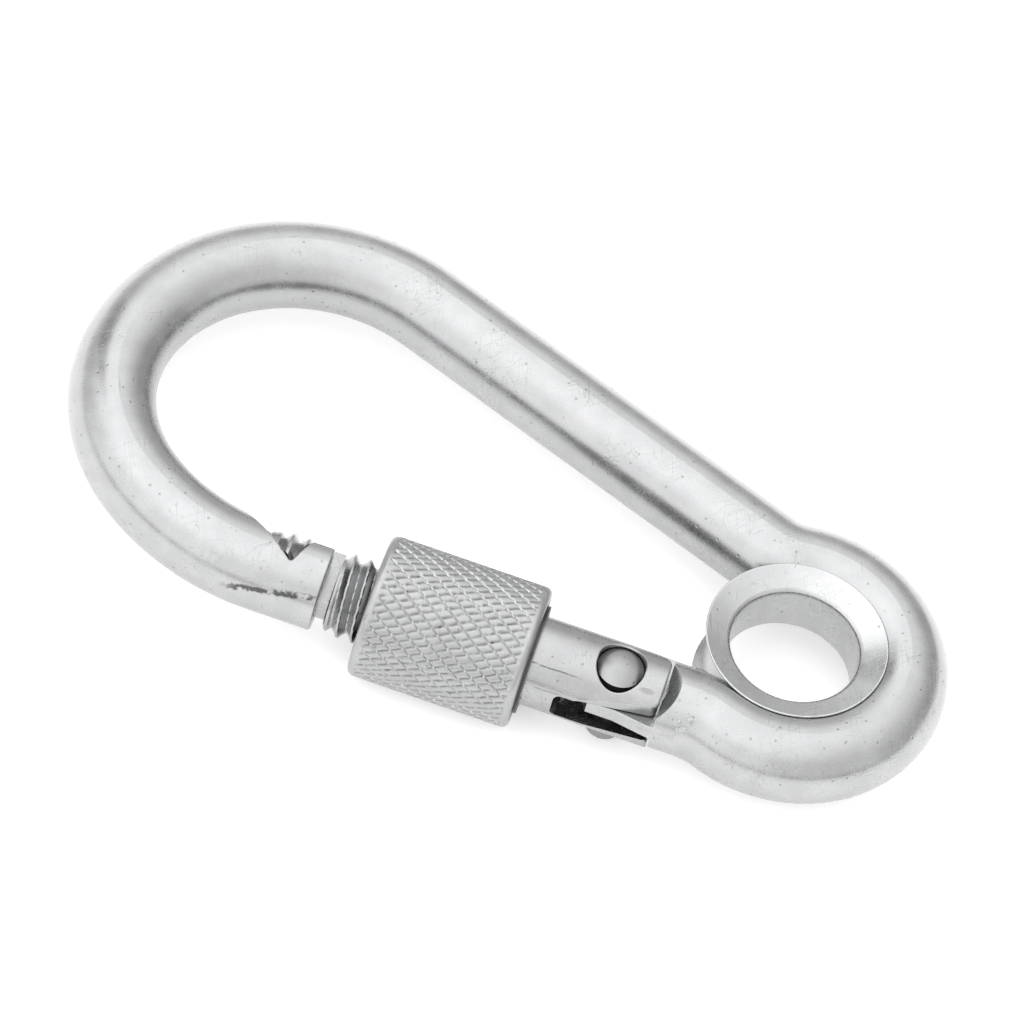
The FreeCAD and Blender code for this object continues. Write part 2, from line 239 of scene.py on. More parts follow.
class Group:
    """Shader node group with named inputs and outputs, built once and placed often."""

    def __init__(self, name: str, inputs: dict[str, str], outputs: dict[str, str]) -> None:
        """Make the empty group.

        Args:
            name: The group's name.
            inputs: Socket type by input name.
            outputs: Socket type by output name.
        """
        self.tree = bpy.data.node_groups.new(name, "ShaderNodeTree")
        for label, kind in inputs.items():
            self.tree.interface.new_socket(label, in_out="INPUT", socket_type=kind)
        for label, kind in outputs.items():
            self.tree.interface.new_socket(label, in_out="OUTPUT", socket_type=kind)
        self.source = self.tree.nodes.new("NodeGroupInput")
        self.sink = self.tree.nodes.new("NodeGroupOutput")

    def given(self, name: str) -> Signal:
        """One of the group's inputs, by name, as a signal inside the group."""
        return Signal(self.tree, self.source.outputs[name])

    def give(self, name: str, value: Signal) -> None:
        """Feed one of the group's outputs, by name."""
        self.tree.links.new(value.socket, self.sink.inputs[name])

    def place(self, tree: bpy.types.NodeTree, **values: "Signal | float") -> dict[str, Signal]:
        """Put the group in a material.

        Args:
            tree: The material's tree.
            values: Value of each input, with spaces in its name as underscores.

        Returns:
            The outputs by name.
        """
        node = tree.nodes.new("ShaderNodeGroup")
        node.node_tree = self.tree
        for name, value in values.items():
            plug(tree, value, node.inputs[name.replace("_", " ")])
        return {s.name: Signal(tree, s) for s in node.outputs}


def grain_group() -> Group:
    """Satin grain: a fine height and a slow change of tone.

    Returns:
        The group, with outputs Height and Tone.
    """
    group = Group("satin_grain", {"Vector": "NodeSocketVector", "Fine": "NodeSocketFloat",
                                  "Coarse": "NodeSocketFloat"},
                  {"Height": "NodeSocketFloat", "Tone": "NodeSocketFloat"})
    vector = group.source.outputs["Vector"]
    fine = noise(group.tree, vector, group.given("Fine"), 3.0)
    coarse = noise(group.tree, vector, group.given("Coarse"), 4.0)
    group.give("Height", fine * FINE_HEIGHT + coarse)
    tone = coarse.ramp(0.32, 0.68) * (1 - FINE_TONE) + fine.ramp(0.3, 0.7) * FINE_TONE
    group.give("Tone", tone)
    return group


def pit_group() -> Group:
    """Small pits left by tumbling, thinned out at random.

    Returns:
        The group, with output Mask, 1 in a pit.
    """
    group = Group("tumbled_pits", {"Vector": "NodeSocketVector", "Scale": "NodeSocketFloat",
                                   "Share": "NodeSocketFloat"}, {"Mask": "NodeSocketFloat"})
    cells = group.tree.nodes.new("ShaderNodeTexVoronoi")
    group.tree.links.new(group.source.outputs["Vector"], cells.inputs["Vector"])
    plug(group.tree, group.given("Scale"), cells.inputs["Scale"])
    depth = Signal(group.tree, cells.outputs["Distance"]).ramp(*PIT_EDGE)
    chance = parts_of(group.tree, cells.outputs["Color"])[0]
    group.give("Mask", depth * chance.math("LESS_THAN", group.given("Share")))
    return group


def scratch_group() -> Group:
    """Fine scratches in two directions across the piece.

    Returns:
        The group, with output Mask, 1 in a scratch.
    """
    group = Group("handling_scratches", {"Vector": "NodeSocketVector",
                                         "Scale": "NodeSocketFloat",
                                         "Width": "NodeSocketFloat"}, {"Mask": "NodeSocketFloat"})
    tree = group.tree
    x, y, z = parts_of(tree, group.source.outputs["Vector"])
    total = None
    for a, b, stretch in SCRATCH_WAYS:
        along = x * a + y * b
        across = x * b - y * a
        vector = joined(tree, along * stretch, across, z * 0.6)
        lines = abs(noise(tree, vector, group.given("Scale"), 1.0) - 0.5)
        line = (lines / group.given("Width")).ramp(1.0, 0.0)
        patches = noise(tree, group.source.outputs["Vector"], 0.35).ramp(*SCRATCH_PATCHES)
        total = line * patches if total is None else total.math("MAXIMUM", line * patches)
    group.give("Mask", total)
    return group


def edge_group() -> Group:
    """Bright rubbed edges, found where a rounded normal leaves the true one.

    Returns:
        The group, with output Mask, 1 on a sharp edge.
    """
    group = Group("rubbed_edges", {"Radius": "NodeSocketFloat"}, {"Mask": "NodeSocketFloat"})
    tree = group.tree
    bevel = tree.nodes.new("ShaderNodeBevel")
    bevel.samples = 4
    plug(tree, group.given("Radius"), bevel.inputs["Radius"])
    geometry = tree.nodes.new("ShaderNodeNewGeometry")
    dot = tree.nodes.new("ShaderNodeVectorMath")
    dot.operation = "DOT_PRODUCT"
    tree.links.new(bevel.outputs[0], dot.inputs[0])
    tree.links.new(geometry.outputs["Normal"], dot.inputs[1])
    group.give("Mask", Signal(tree, dot.outputs["Value"]).ramp(*EDGE_ANGLES))
    return group


@dataclass(frozen=True)
class Effects:
    """Shader groups that the finishes share."""

    grain: Group
    pits: Group
    scratches: Group
    edges: Group


# ---------------------------------------------------------------- finishes

@dataclass(frozen=True)
class SteelFinish:
    """Stainless steel: its tone, gloss, grain and wear.

    Tones are linear grey, scales are features to the millimetre, and depths are millimetres.
    Dirt, and the painted shade that some finishes add to it, is the share of the light that it
    takes away.
    """

    name: str
    light: float = 0.42
    dark: float = 0.36
    roughness: float = 0.22
    roughness_change: float = 0.08
    fine: float = 9.0
    coarse: float = 0.7
    pit_scale: float = 2.6
    pit_share: float = 0.12
    scratch_scale: float = 1.6
    scratch_width: float = 0.010
    edge_radius: float = 0.10
    edge_shine: float = 0.12
    grain_depth: float = 0.010
    pit_depth: float = 0.02
    scratch_depth: float = 0.006
    pit_dirt: float = 0.35
    scratch_dirt: float = 0.18
    most_dirt_and_shade: float = 0.97
    dirt_and_shade_roughness: float = 0.25
    tint: tuple[float, float] = (0.985, 0.99)
    relief: float = 0.6

    def marks(self, tree: bpy.types.NodeTree,
              place: list[Signal]) -> tuple[Signal, Signal | float] | None:
        """Marks that only this finish has.

        Args:
            tree: The material's tree.
            place: The object's own x, y and z in millimetres.

        Returns:
            How much they darken the colour, from dirt and from painted shade, and how deep they
            are, or nothing. Less than nothing makes the colour lighter.
        """
        return None

    def material(self, effects: Effects) -> bpy.types.Material:
        """Build the material.

        Args:
            effects: The shared groups.

        Returns:
            The material.
        """
        material = bpy.data.materials.new(self.name)
        material.use_nodes = True
        tree = material.node_tree
        shader = tree.nodes["Principled BSDF"]
        coordinates = tree.nodes.new("ShaderNodeTexCoord")
        scaled = tree.nodes.new("ShaderNodeVectorMath")
        scaled.operation = "SCALE"
        scaled.inputs["Scale"].default_value = 1 / MM
        tree.links.new(coordinates.outputs["Object"], scaled.inputs[0])
        vector = scaled.outputs[0]
        grain = effects.grain.place(tree, Vector=vector, Fine=self.fine, Coarse=self.coarse)
        pits = effects.pits.place(tree, Vector=vector, Scale=self.pit_scale,
                                  Share=self.pit_share)["Mask"]
        scratches = effects.scratches.place(tree, Vector=vector, Scale=self.scratch_scale,
                                            Width=self.scratch_width)["Mask"]
        edges = effects.edges.place(tree, Radius=self.edge_radius * MM)["Mask"]
        height = grain["Height"] * self.grain_depth - pits * self.pit_depth
        height = height - scratches * self.scratch_depth
        dirt_and_shade = pits * self.pit_dirt + scratches * self.scratch_dirt
        extra = self.marks(tree, parts_of(tree, vector))
        if extra:
            # the finish's own marks join here: dirt, and on the gate painted shade in the rivet's
            # recess
            dirt_and_shade = dirt_and_shade + extra[0]
            height = height - extra[1]
        tone = grain["Tone"] * (self.light - self.dark) + self.dark
        tone = (tone + edges * self.edge_shine) * dirt_and_shade.math("MINIMUM", self.most_dirt_and_shade).inverse()
        colour = joined(tree, tone * self.tint[0], tone * self.tint[1], tone)
        tree.links.new(colour, shader.inputs["Base Color"])
        rough = grain["Tone"] * self.roughness_change + self.roughness
        plug(tree, rough + dirt_and_shade * self.dirt_and_shade_roughness, shader.inputs["Roughness"])
        shader.inputs["Metallic"].default_value = 1.0
        bump = tree.nodes.new("ShaderNodeBump")
        bump.inputs["Distance"].default_value = MM
        bump.inputs["Strength"].default_value = self.relief
        plug(tree, height, bump.inputs["Height"])
        tree.links.new(bump.outputs[0], shader.inputs["Normal"])
        return material


@dataclass(frozen=True)
class WireFinish(SteelFinish):
    """Bent wire of the hook, with the ragged smear that its bending left on the nose.

    The smear starts at a place in the hook's middle plane, slopes up along x, and leans back
    with height. Its sizes are in millimetres.
    """

    smear_start: tuple[float, float] = (-35.98, -8.76)
    smear_end: float = -29.1
    smear_fades: tuple[float, float] = (1.5, 1.0)
    smear_slope: float = 0.2224
    smear_lean: float = 0.73
    smear_edge: tuple[float, float] = (0.3, 0.12)
    smear_sway: float = 0.9
    smear_scale: float = 2.2
    smear_gaps: tuple[float, float] = (0.38, 0.5)
    smear_dirt: float = 0.75
    smear_depth: float = 0.02

    def marks(self, tree: bpy.types.NodeTree,
              place: list[Signal]) -> tuple[Signal, Signal | float] | None:
        """The smear, along the front of the nose and on its upper side only.

        Args:
            tree: The material's tree.
            place: The object's own x, y and z in millimetres.

        Returns:
            How dirty and how deep it is.
        """
        x, y, z = place
        start_x, start_y = self.smear_start
        ragged = noise(tree, joined(tree, x, y, z), self.smear_scale, 4.0)
        level = y + z * self.smear_lean - start_y
        off = level - (x - start_x) * self.smear_slope + (ragged - 0.5) * self.smear_sway
        band = abs(off).ramp(*self.smear_edge) * ragged.ramp(*self.smear_gaps)
        band = band * x.ramp(start_x, start_x + self.smear_fades[0])
        band = band * x.ramp(self.smear_end, self.smear_end - self.smear_fades[1])
        band = band * z.math("GREATER_THAN", 0.0)
        return band * self.smear_dirt, band * self.smear_depth


@dataclass(frozen=True)
class GateFinish(SteelFinish):
    """Drawn bar of the gate, with two rolling seams, a dent, and painted shade in the recess round
    the rivet.

    A seam is its angle from the top in degrees and how strong it is. Sizes are in millimetres
    and the seam's edge and sway in radians.
    """

    seams: tuple[tuple[float, float], ...] = ((-39.0, 1.0), (-68.0, 0.45))
    seam_start: float = -19.2
    seam_end: float = -11.6
    seam_fade: float = 1.5
    seam_edge: tuple[float, float] = (0.028, 0.006)
    seam_sway: float = 0.07
    seam_gaps: tuple[float, float] = (0.3, 0.5)
    seam_dirt: float = 0.55
    seam_depth: float = 0.03
    dent: tuple[float, float] = (-7.84, -7.72)
    dent_size: tuple[float, float] = (0.55, 0.2)
    dent_edge: tuple[float, float] = (1.2, 0.1)
    dent_lowest: float = 1.5
    dent_dirt: float = 0.25
    dent_depth: float = 0.06
    recess: tuple[float, float] = (-9.95, -6.5)
    recess_radius: float = 1.8
    recess_top: float = 2.683
    # painted shade in the rivet's recess: where it fades out and how dark it is
    painted_recess_shade_edge: tuple[float, float] = (0.5, -0.6)
    painted_recess_shade_strength: float = 0.93

    def marks(self, tree: bpy.types.NodeTree,
              place: list[Signal]) -> tuple[Signal, Signal | float] | None:
        """Seams along the bar, the dent beside the rivet and the painted shade in the recess round
        it.

        Args:
            tree: The material's tree.
            place: The object's own x, y and z in millimetres.

        Returns:
            How much they darken the colour, from dirt and from painted shade, and how deep they
            are.
        """
        x, y, z = place
        seams = self.seam_lines(tree, x, y - GATE_Y, z)
        across = (x - self.dent[0]) / self.dent_size[0]
        down = (y - self.dent[1]) / self.dent_size[1]
        dent = (across * across + down * down).ramp(*self.dent_edge)
        dent = dent * z.math("GREATER_THAN", self.dent_lowest)
        # seams and dent are dirt; the last term is painted shade in the rivet's recess
        dirt_and_shade = seams * self.seam_dirt + dent * self.dent_dirt + self.painted_recess_shade(x, y, z)
        return dirt_and_shade, seams * self.seam_depth + dent * self.dent_depth

    def seam_lines(self, tree: bpy.types.NodeTree, x: Signal, off: Signal, z: Signal) -> Signal:
        """Wandering, broken lines along the bar.

        Args:
            tree: The material's tree.
            x: Place along the gate in millimetres.
            off: Distance behind the gate's axis in millimetres.
            z: Height over that axis in millimetres.

        Returns:
            How strong a seam is here.
        """
        sway = noise(tree, joined(tree, x * 0.8, 0.0, 0.0), 1.0, 3.0) - 0.5
        angle = off.math("ARCTAN2", z) + sway * self.seam_sway
        breaks = noise(tree, joined(tree, x, off, z), 1.7, 3.0).ramp(*self.seam_gaps)
        total = None
        for degrees, strength in self.seams:
            line = abs(angle - math.radians(degrees)).ramp(*self.seam_edge) * strength
            total = line if total is None else total + line
        total = total * breaks * x.ramp(self.seam_end, self.seam_end - self.seam_fade)
        return total * x.math("GREATER_THAN", self.seam_start)

    def painted_recess_shade(self, x: Signal, y: Signal, z: Signal) -> Signal:
        """Painted shade, near black, in the front of the upper recess round the rivet's head, where
        the gap beside the head lies in shadow.

        Args:
            x: Place along the gate in millimetres.
            y: Place across the gate in millimetres.
            z: Height in millimetres.

        Returns:
            How dark the painted shade is here.
        """
        across = x - self.recess[0]
        down = y - self.recess[1]
        inside = (across * across + down * down).math("LESS_THAN", self.recess_radius ** 2)
        sunk = (down * down + z * z).math("LESS_THAN", self.recess_top ** 2)
        upper = z.math("GREATER_THAN", 0.0)
        # painted shade: the colour goes near black in the front of the recess round the rivet
        return inside * sunk * upper * down.ramp(*self.painted_recess_shade_edge) * self.painted_recess_shade_strength


@dataclass(frozen=True)
class KnurlFinish(SteelFinish):
    """Sleeve's finish: darker in the crossing cuts of its knurl and lighter along the deep ones.

    The mesh carries both in one attribute, above zero in a crossing cut and below in a deep one.
    """

    cut_darkening: float = 0.5
    groove_lightening: float = 0.45

    def marks(self, tree: bpy.types.NodeTree,
              place: list[Signal]) -> tuple[Signal, Signal | float] | None:
        """Darker and lighter colour along the knurl, which needs no depth because it is in the
        mesh.

        Args:
            tree: The material's tree.
            place: The object's own x, y and z in millimetres.

        Returns:
            How much darker it is, less than nothing where it is lighter, and no depth.
        """
        node = tree.nodes.new("ShaderNodeAttribute")
        node.attribute_name = "groove"
        depth = Signal(tree, node.outputs["Fac"])
        # colour darkened in the crossing cuts and lightened along the deep grooves
        darker_cuts = depth.math("MAXIMUM", 0.0) * self.cut_darkening
        return darker_cuts + depth.math("MINIMUM", 0.0) * self.groove_lightening, 0.0


# ---------------------------------------------------------------- turned pieces

@dataclass(frozen=True)
class Ring:
    """One ring of a turned piece.

    x and radius are in millimetres. knurl and thread say how much of each pattern is cut here.
    """

    x: float
    radius: float
    knurl: float = 0.0
    thread: float = 0.0


@dataclass(frozen=True)
class Lathe:
    """Geometry Nodes tree that turns a list of rings, and cuts a knurl and a thread in them.

    A set of knurl grooves has a number of starts, a slope round the piece to one along it, a
    depth in millimetres and a width as a share of its spacing. Uneven noise wanders over it.
    """

    deep_starts: int = 31
    deep_slope: float = 0.70
    deep_cut: float = 0.11
    deep_width: float = 0.26
    fine_starts: int = 50
    fine_slope: float = 0.55
    fine_cut: float = 0.10
    fine_width: float = 0.46
    uneven_scale: float = 0.9
    uneven_depth: float = 0.5
    uneven_sway: float = 0.5
    ragged_scale: float = 2.4
    ragged_gaps: tuple[float, float] = (0.22, 0.55)
    thread_depth: float = 0.48

    def tree(self) -> bpy.types.NodeTree:
        """Build the tree.

        Returns:
            The tree, with its sizes as named inputs.
        """
        tree = bpy.data.node_groups.new("lathe", "GeometryNodeTree")
        face = tree.interface
        face.new_socket("Rings", in_out="INPUT", socket_type="NodeSocketGeometry")
        for name, kind in (("Ring Count", "Int"), ("Columns", "Int"), ("Axis Y", "Float"),
                           ("Radius", "Float"), ("Shear", "Float"), ("Material", "Material")):
            face.new_socket(name, in_out="INPUT", socket_type=f"NodeSocket{kind}")
        face.new_socket("Solid", in_out="OUTPUT", socket_type="NodeSocketGeometry")
        source = tree.nodes.new("NodeGroupInput")
        grid = tree.nodes.new("GeometryNodeMeshGrid")
        tree.links.new(source.outputs["Ring Count"], grid.inputs["Vertices X"])
        tree.links.new(source.outputs["Columns"], grid.inputs["Vertices Y"])
        place, pattern = self.surface(tree, source)
        settle = tree.nodes.new("GeometryNodeSetPosition")
        tree.links.new(grid.outputs["Mesh"], settle.inputs["Geometry"])
        tree.links.new(place, settle.inputs["Position"])
        store = tree.nodes.new("GeometryNodeStoreNamedAttribute")
        store.data_type = "FLOAT"
        store.inputs["Name"].default_value = "groove"
        plug(tree, pattern, store.inputs["Value"])
        merge = tree.nodes.new("GeometryNodeMergeByDistance")
        merge.inputs["Distance"].default_value = 0.001 * MM
        realize = tree.nodes.new("GeometryNodeRealizeInstances")
        dress = tree.nodes.new("GeometryNodeSetMaterial")
        tree.links.new(source.outputs["Material"], dress.inputs["Material"])
        chain = [settle, store, merge, realize, dress, tree.nodes.new("NodeGroupOutput")]
        for before, after in zip(chain, chain[1:]):
            tree.links.new(before.outputs[0], after.inputs[0])
        return tree

    def surface(self, tree: bpy.types.NodeTree,
                source: bpy.types.Node) -> tuple[bpy.types.NodeSocket, Signal]:
        """Work out where each point of the flat grid goes.

        Args:
            tree: The Geometry Nodes tree.
            source: Its input node.

        Returns:
            The point's place, and the knurl's pattern there for the finish: above zero in a
            crossing cut and below zero in a deep one.
        """
        columns = Signal(tree, source.outputs["Columns"])
        index = Signal(tree, tree.nodes.new("GeometryNodeInputIndex").outputs[0])
        row = ((index + 0.5) / columns).math("FLOOR")
        column = index - row * columns
        sample = tree.nodes.new("GeometryNodeSampleIndex")
        sample.data_type = "FLOAT_VECTOR"
        tree.links.new(source.outputs["Rings"], sample.inputs["Geometry"])
        tree.links.new(tree.nodes.new("GeometryNodeInputPosition").outputs[0],
                       sample.inputs["Value"])
        tree.links.new(row.socket, sample.inputs["Index"])
        # a ring's point holds its x, its radius, and the knurl's share less the thread's
        x, radius, share = parts_of(tree, sample.outputs[0])
        around = column / (columns - 1.0) * math.tau
        angle = around - x * Signal(tree, source.outputs["Shear"])
        deep, fine = self.grooves(tree, x, around, angle, Signal(tree, source.outputs["Radius"]))
        cover = share.math("MAXIMUM", 0.0)
        knurl = (deep * self.deep_cut).math("MAXIMUM", fine * self.fine_cut) * cover
        turn = (x / (THREAD_PITCH * MM) + angle / math.tau).math("FRACT")
        flank = (abs(turn - 0.5) * (2.0 / (1.0 - THREAD_LAND))).math("MINIMUM", 1.0)
        cut = (flank ** THREAD_CURVE).inverse() * (share * -1.0).math("MAXIMUM", 0.0)
        final = radius - knurl * MM - cut * (self.thread_depth * MM)
        across = angle.math("SINE") * final + Signal(tree, source.outputs["Axis Y"])
        place = joined(tree, x, across, angle.math("COSINE") * final)
        return place, (fine * deep.inverse() - deep) * cover

    def grooves(self, tree: bpy.types.NodeTree, x: Signal, around: Signal, angle: Signal,
                radius: Signal) -> tuple[Signal, Signal]:
        """Knurl: one deep set of grooves that leans with the rings' columns, and a shallower
        set that crosses it.

        Args:
            tree: The Geometry Nodes tree.
            x: Place along the axis in metres.
            around: The column's angle in radians, before it leans.
            angle: The point's true angle.
            radius: The piece's radius in metres.

        Returns:
            How much of its full depth each set is cut.
        """
        size = radius / MM
        vector = joined(tree, x / MM, angle.math("SINE") * size, angle.math("COSINE") * size)
        uneven = noise(tree, vector, self.uneven_scale, 3.0)
        phase = (around * (self.deep_starts / math.tau)).math("FRACT")
        strength = (uneven - 0.5) * self.uneven_depth + 1.0
        deep = abs(phase - 0.5).ramp(self.deep_width / 2, 0.0) * strength
        slope = x / radius * self.fine_slope
        turn = (angle - slope) * (self.fine_starts / math.tau) + uneven * self.uneven_sway
        fine = abs(turn.math("FRACT") - 0.5).ramp(self.fine_width / 2, 0.0)
        ragged = noise(tree, vector, self.ragged_scale, 2.0).ramp(*self.ragged_gaps)
        return deep, fine * ragged

    def turn(self, name: str, rings: list[Ring], columns: int, axis_y: float, radius: float,
             material: bpy.types.Material) -> bpy.types.Object:
        """Turn rings into a closed solid.

        Args:
            name: The piece's name.
            rings: Rings in order, the last equal to the first, or both on the axis.
            columns: Points round each ring.
            axis_y: The axis's place in metres.
            radius: Radius in metres that the knurl's slope is measured on.
            material: The piece's material.

        Returns:
            The piece as a plain mesh.
        """
        mesh = bpy.data.meshes.new(name)
        points = [(r.x * MM, r.radius * MM, r.knurl - r.thread) for r in rings]
        mesh.from_pydata(points, [], [])
        piece = bpy.data.objects.new(name, mesh)
        bpy.context.scene.collection.objects.link(piece)
        modifier = piece.modifiers.new("lathe", "NODES")
        modifier.node_group = self.tree()
        values = {"Ring Count": len(rings), "Columns": columns + 1, "Axis Y": axis_y,
                  "Radius": radius, "Shear": self.deep_slope / radius, "Material": material}
        for item in modifier.node_group.interface.items_tree:
            if item.name in values:
                modifier[item.identifier] = values[item.name]
        return baked(piece)


def baked(piece: bpy.types.Object) -> bpy.types.Object:
    """Turn a piece's modifier into its plain mesh, closed and with its faces outwards.

    Args:
        piece: The object that carries the modifier.

    Returns:
        The same object, with the finished mesh and no modifier.
    """
    graph = bpy.context.evaluated_depsgraph_get()
    solid = bpy.data.meshes.new_from_object(piece.evaluated_get(graph))
    piece.modifiers.clear()
    piece.data = solid
    shell = bmesh.new()
    shell.from_mesh(solid)
    bmesh.ops.recalc_face_normals(shell, faces=shell.faces)
    if shell.calc_volume(signed=True) < 0:
        bmesh.ops.reverse_faces(shell, faces=shell.faces)
    shell.to_mesh(solid)
    shell.free()
    solid.shade_smooth()
    solid.set_sharp_from_angle(angle=math.radians(40))
    return piece


def spread(start: Ring, end: Ring, count: int) -> list[Ring]:
    """Space rings evenly from one to another.

    Args:
        start: First ring.
        end: Ring that they lead to, which is left out.
        count: How many rings to make.

    Returns:
        The rings, the first one included.
    """
    rings = []
    for i in range(count):
        t = i / count
        rings.append(Ring(start.x + (end.x - start.x) * t,
                          start.radius + (end.radius - start.radius) * t,
                          start.knurl + (end.knurl - start.knurl) * t,
                          start.thread + (end.thread - start.thread) * t))
    return rings


def rounded(centre: tuple[float, float], radius: float, start: float, turn: float,
            steps: int) -> list[Ring]:
    """Quarter round in an outline.

    Args:
        centre: x and distance from the axis of the round's centre, in millimetres.
        radius: The round's radius.
        start: Angle of its first ring in degrees, from +x towards larger radii.
        turn: 90 or -90, the way that it goes.
        steps: Rings along it.

    Returns:
        The rings, without the one where the round ends.
    """
    rings = []
    for i in range(steps):
        a = math.radians(start + turn * i / steps)
        rings.append(Ring(centre[0] + radius * math.cos(a), centre[1] + radius * math.sin(a)))
    return rings


def adopt(piece: bpy.types.Object, body: Body, slot: Slot, *nodes: str) -> None:
    """Tell the frame about a piece and log it.

    Args:
        piece: The finished piece.
        body: The body that it rides on.
        slot: The slot that it is made of; not used.
        nodes: CAD nodes that it replaces, if any.
    """
    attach(piece, body.value)
    if nodes:
        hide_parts(*nodes)
    LOG.info("%s: %d faces, rides on %s", piece.name, len(piece.data.polygons), body.value)


# ---------------------------------------------------------------- sub-assemblies

@dataclass(frozen=True)
class ScrewSleeve:
    """Knurled sleeve with a threaded bore, between two plain counterbores.

    Sizes are in millimetres, and bores, root and flare are radii.
    """

    columns: int = 310
    outer_rings: int = 186
    round_steps: int = 6
    front_round: float = 0.5
    back_round: float = 0.42
    plain_band: float = 0.22
    nose_bore: float = 3.08
    nose_depth: float = 3.70
    thread_root: float = 2.80
    thread_length: float = 3.07
    thread_lead: float = 0.3
    thread_depth: float = 0.40
    bush_bore: float = 3.62
    flare: float = 4.15
    flare_depth: float = 0.55
    lip: float = 0.05
    mouth: float = 0.3

    def rings(self) -> list[Ring]:
        """Outline of the sleeve.

        Returns:
            The rings, from its front edge over the knurl and back inside.
        """
        low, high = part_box("locking_sleeve")
        front, back = low.x / MM, high.x / MM
        radius = (high.z - low.z) / 2 / MM
        return self.outside(front, back, radius) + self.inside(front, back)

    def outside(self, front: float, back: float, radius: float) -> list[Ring]:
        """Rounded ends, plain bands and the knurl between them.

        Args:
            front: x of the front face.
            back: x of the back face.
            radius: Outer radius.

        Returns:
            The rings from the front face to the back face.
        """
        start = Ring(front + self.front_round, radius)
        end = Ring(back - self.back_round, radius)
        knurl_start = Ring(start.x + self.plain_band, radius, 1.0)
        knurl_end = Ring(end.x - self.plain_band, radius, 1.0)
        rings = rounded((start.x, radius - self.front_round), self.front_round, 180, -90,
                        self.round_steps)
        rings += spread(start, knurl_start, 5)
        rings += spread(knurl_start, knurl_end, self.outer_rings)
        rings += spread(knurl_end, end, 5)
        rings += rounded((end.x, radius - self.back_round), self.back_round, 90, -90,
                         self.round_steps)
        return rings + [Ring(back, radius - self.back_round)]

    def inside(self, front: float, back: float) -> list[Ring]:
        """Countersunk back bore, thread and nose bore, up to the first ring of the outside.

        Args:
            front: x of the front face.
            back: x of the back face.

        Returns:
            The rings from the back face to the front face.
        """
        lip, flare, root = self.lip, self.flare, self.thread_root
        rings = [Ring(back, flare + lip), Ring(back - 1.2 * lip, flare)]
        rim = Ring(back - self.flare_depth, self.bush_bore)
        rings += spread(Ring(back - 1.6 * lip, flare - 0.8 * lip), rim, 3)
        thread_front = front + self.nose_depth
        thread_back = thread_front + self.thread_length
        rings += spread(rim, Ring(thread_back, self.bush_bore), 9)
        rings += [Ring(thread_back, self.bush_bore), Ring(thread_back, root)]
        full_back = Ring(thread_back - self.thread_lead, root, 0, 1)
        full_front = Ring(thread_front + self.thread_lead, root, 0, 1)
        rings += spread(Ring(thread_back, root), full_back, 4)
        rings += spread(full_back, full_front, 45)
        rings += spread(full_front, Ring(thread_front, root), 4)
        rings += [Ring(thread_front, root), Ring(thread_front, self.nose_bore)]
        mouth = Ring(front + self.mouth, self.nose_bore)
        rings += spread(Ring(thread_front, self.nose_bore), mouth, 7)
        return rings + [mouth, Ring(front, self.nose_bore + self.mouth)]

    def build(self, material: bpy.types.Material) -> None:
        """Make the sleeve and hand it to the frame.

        Args:
            material: What it is made of.
        """
        low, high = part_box("locking_sleeve")
        rings = self.rings()
        lathe = Lathe(thread_depth=self.thread_depth)
        piece = lathe.turn("knurled_sleeve", rings + rings[:1], self.columns,
                           (low.y + high.y) / 2, high.z, material)
        adopt(piece, Body.SLEEVE, Slot.SLEEVE, "locking_sleeve")


